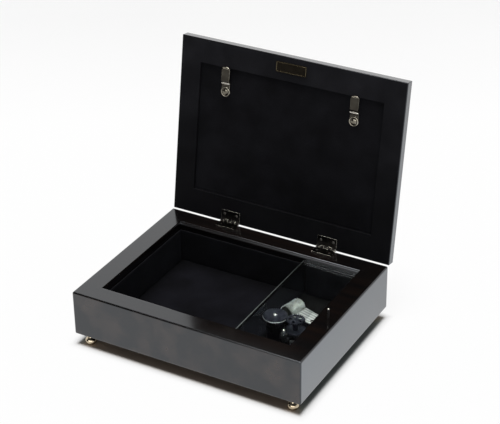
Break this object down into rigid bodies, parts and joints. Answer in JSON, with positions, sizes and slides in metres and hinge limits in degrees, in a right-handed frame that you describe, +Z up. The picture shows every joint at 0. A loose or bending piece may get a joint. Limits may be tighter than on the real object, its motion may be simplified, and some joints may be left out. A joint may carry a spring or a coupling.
{
  "type": "musical jewelry box",
  "caption": "Low dark lacquered jewelry box with an open picture frame lid, a velvet compartment and a key-wound cylinder movement under glass.",
  "frame": {"origin": "centre of the flat underside of the case and its bottom board", "axes": "+X to the user's right along the width, +Y towards the hinges at the back, +Z up; the lid is stored open"},
  "size_m": [0.19, 0.1731, 0.1878],
  "materials": {
    "lacquer": "high gloss dark lacquer",
    "satin_black": "satin black lacquer",
    "velvet": "black velvet on card",
    "dark_board": "stained fibreboard",
    "clear_glass": "clear, ground edges",
    "card": "plain card",
    "pale_gold": "pale polished plating",
    "nickel": "nickel plated",
    "tempered_steel": "brushed tempered steel",
    "brass": "turned",
    "dark_polish": "dark polished plating",
    "black_fan": "moulded"
  },
  "bodies": {
    "case": {"case_frame": "lacquer", "bottom_board": "dark_board", "foot_front_left": "pale_gold", "foot_front_right": "pale_gold", "foot_back_left": "pale_gold", "foot_back_right": "pale_gold", "jewel_liner_front": "velvet", "jewel_liner_back": "velvet", "jewel_liner_left": "velvet", "jewel_floor_pad": "velvet", "music_liner_front": "velvet", "music_liner_back": "velvet", "music_liner_right": "velvet", "glass_partition": "clear_glass", "glass_cover": "clear_glass", "hinge_left_case_leaf": "pale_gold", "hinge_right_case_leaf": "pale_gold", "hinge_left_pin": "nickel", "hinge_right_pin": "nickel", "movement_bed": "dark_polish", "comb": "tempered_steel", "idler_stud": "nickel", "governor_bracket": "nickel", "governor_bearing_cap": "nickel", "lever_yoke": "nickel"},
    "lid": {"lid_frame": "satin_black", "picture_glass": "clear_glass", "picture_insert": "card", "lid_back_panel": "velvet", "hinge_left_lid_leaf": "pale_gold", "hinge_right_lid_leaf": "pale_gold", "clip_screw_left": "nickel", "clip_screw_right": "nickel"},
    "clip_left": {"turn_clip_left": "nickel"},
    "clip_right": {"turn_clip_right": "nickel"},
    "stop_pin": {"stop_pin": "nickel"},
    "stop_lever": {"stop_lever": "tempered_steel"},
    "barrel": {"barrel_drum": "nickel", "great_wheel": "dark_polish", "mainspring": "tempered_steel"},
    "winding": {"winding_arbor": "tempered_steel", "arbor_screw": "nickel", "winding_key": "nickel"},
    "cylinder": {"pin_cylinder": "nickel", "cylinder_arbor": "brass"},
    "idler": {"idler_wheel": "dark_polish"},
    "governor": {"governor_spindle": "tempered_steel", "governor_fan": "black_fan"}
  },
  "joints": [
    {"name": "lid_hinge", "type": "hinge", "parent": "case", "child": "lid", "pos_m": [0, 0.07165, 0.0375], "axis": [1, 0, 0], "range_deg": [0, 99]},
    {"name": "clip_left_turn", "type": "hinge", "parent": "lid", "child": "clip_left", "pos_m": [-0.0547, 0.08985, 0.14057], "axis": [0, 0.9877, -0.1564], "range_deg": [-90, 90]},
    {"name": "clip_right_turn", "type": "hinge", "parent": "lid", "child": "clip_right", "pos_m": [0.0547, 0.08985, 0.14057], "axis": [0, 0.9877, -0.1564], "range_deg": [-90, 90]},
    {"name": "stop_pin_slide", "type": "slide", "parent": "case", "child": "stop_pin", "axis": [0, 0, -1], "range_m": [0, 0.006]},
    {"name": "stop_lever_hinge", "type": "hinge", "parent": "case", "child": "stop_lever", "pos_m": [0.06935, -0.01817, 0.0099], "axis": [-0.319, 0.9478, 0], "range_deg": [0, 20]},
    {"name": "barrel_spin", "type": "hinge", "parent": "case", "child": "barrel", "pos_m": [0.0441, -0.0135, 0.02], "axis": [0, 0, 1], "continuous": true},
    {"name": "cylinder_spin", "type": "hinge", "parent": "case", "child": "cylinder", "pos_m": [0.04882, 0.00542, 0.02053], "axis": [0.2419, 0.9703, 0], "continuous": true},
    {"name": "idler_spin", "type": "hinge", "parent": "case", "child": "idler", "pos_m": [0.05967, -0.0115, 0.02], "axis": [0, 0, 1], "continuous": true},
    {"name": "governor_spin", "type": "hinge", "parent": "case", "child": "governor", "pos_m": [0.05473, -0.02017, 0.012], "axis": [0, 0, 1], "continuous": true},
    {"name": "winding_spin", "type": "hinge", "parent": "case", "child": "winding", "pos_m": [0.0441, -0.0135, 0], "axis": [0, 0, 1], "continuous": true}
  ],
  "couplings": [
    {"joint": "stop_pin_slide", "follows": "lid_hinge", "m_per_rad": 0.003472},
    {"joint": "stop_lever_hinge", "follows": "lid_hinge", "ratio": 0.202},
    {"joint": "cylinder_spin", "follows": "barrel_spin", "ratio": -2.7692},
    {"joint": "idler_spin", "follows": "barrel_spin", "ratio": -1.3077},
    {"joint": "governor_spin", "follows": "barrel_spin", "ratio": 4.9038}
  ]
}
